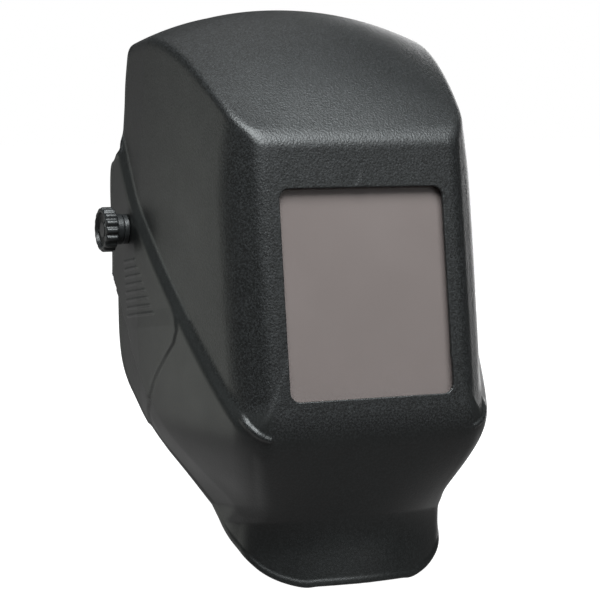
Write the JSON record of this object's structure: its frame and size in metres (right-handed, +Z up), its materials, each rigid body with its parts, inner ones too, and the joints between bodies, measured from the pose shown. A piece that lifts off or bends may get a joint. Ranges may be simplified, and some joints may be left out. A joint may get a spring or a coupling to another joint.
{
  "type": "welding helmet",
  "caption": "Passive welding helmet: moulded shell with a flat dark window, tilting on two side knobs over a padded ratchet headgear.",
  "frame": {"origin": "middle of the tilt axis, between the two pivot bolts, where the headgear carries the shell", "axes": "+Z up with the helmet worn and down, the wearer looks along -Y, +X to the wearer's left; the tilt axis runs along X"},
  "size_m": [0.2348, 0.2676, 0.3294],
  "materials": {
    "shell_black": "moulded, fine pebble grain",
    "knob_black": "moulded, satin",
    "clear_plate": "clear polycarbonate, polished",
    "filter_glass": "dark welding filter, polished, grey-mauve reflection",
    "gasket_rubber": "matt",
    "spring_steel": "drawn wire",
    "bolt_steel": "zinc plated",
    "fibre_washer": "vulcanised fibre",
    "headgear_plastic": "moulded nylon, satin",
    "pad_fabric": "terry-faced foam",
    "pad_foam": "open foam",
    "rivet_plastic": "satin"
  },
  "bodies": {
    "headgear": {"front_headband": "headgear_plastic", "brow_pad": "pad_fabric", "nape_pad": "pad_foam", "crown_peg": "rivet_plastic", "ratchet_backplate": "headgear_plastic", "ratchet_cover": "headgear_plastic", "side_plate_left": "headgear_plastic", "pivot_bolt_left": "bolt_steel", "tilt_stop_left": "headgear_plastic", "friction_washer_left": "fibre_washer", "knob_spacer_left": "knob_black", "crown_strap_left": "headgear_plastic", "crown_rivet_left": "rivet_plastic", "side_rivet_left_front": "rivet_plastic", "side_rivet_left_rear": "rivet_plastic", "side_plate_right": "headgear_plastic", "pivot_bolt_right": "bolt_steel", "tilt_stop_right": "headgear_plastic", "friction_washer_right": "fibre_washer", "knob_spacer_right": "knob_black", "crown_strap_right": "headgear_plastic", "crown_rivet_right": "rivet_plastic", "side_rivet_right_front": "rivet_plastic", "side_rivet_right_rear": "rivet_plastic"},
    "shell": {"helmet_shell": "shell_black", "front_cover_plate": "clear_plate", "filter_plate": "filter_glass", "inner_cover_plate": "clear_plate", "lens_gasket": "gasket_rubber", "lens_housing": "headgear_plastic", "lens_retaining_spring": "spring_steel", "tilt_stop_pin_left": "knob_black", "tilt_stop_pin_right": "knob_black"},
    "knob_left": {"tension_knob_left": "knob_black"},
    "knob_right": {"tension_knob_right": "knob_black"},
    "ratchet": {"ratchet_knob": "knob_black", "ratchet_pinion": "knob_black"},
    "strap_left": {"rear_strap_left": "headgear_plastic"},
    "strap_right": {"rear_strap_right": "headgear_plastic"}
  },
  "joints": [
    {"name": "shell_tilt", "type": "hinge", "parent": "headgear", "child": "shell", "pos_m": [0, 0, 0], "axis": [-1, 0, 0], "range_deg": [0, 65]},
    {"name": "knob_turn_left", "type": "hinge", "parent": "headgear", "child": "knob_left", "pos_m": [0.11105, 0, 0], "axis": [1, 0, 0], "continuous": true},
    {"name": "knob_turn_right", "type": "hinge", "parent": "headgear", "child": "knob_right", "pos_m": [-0.11105, 0, 0], "axis": [-1, 0, 0], "continuous": true},
    {"name": "ratchet_turn", "type": "hinge", "parent": "headgear", "child": "ratchet", "pos_m": [0, 0.11221, -0.01215], "axis": [0, 0.9613, -0.2756], "range_deg": [-100, 100]},
    {"name": "strap_slide_left", "type": "hinge", "parent": "headgear", "child": "strap_left", "pos_m": [0, 0.028, 0.012], "axis": [0, 0.2756, 0.9613], "range_deg": [-6.5, 6.5]},
    {"name": "strap_slide_right", "type": "hinge", "parent": "headgear", "child": "strap_right", "pos_m": [0, 0.028, 0.012], "axis": [0, 0.2756, 0.9613], "range_deg": [-6.5, 6.5]}
  ],
  "couplings": [
    {"joint": "strap_slide_left", "follows": "ratchet_turn", "ratio": -0.061958},
    {"joint": "strap_slide_right", "follows": "ratchet_turn", "ratio": 0.060606}
  ]
}
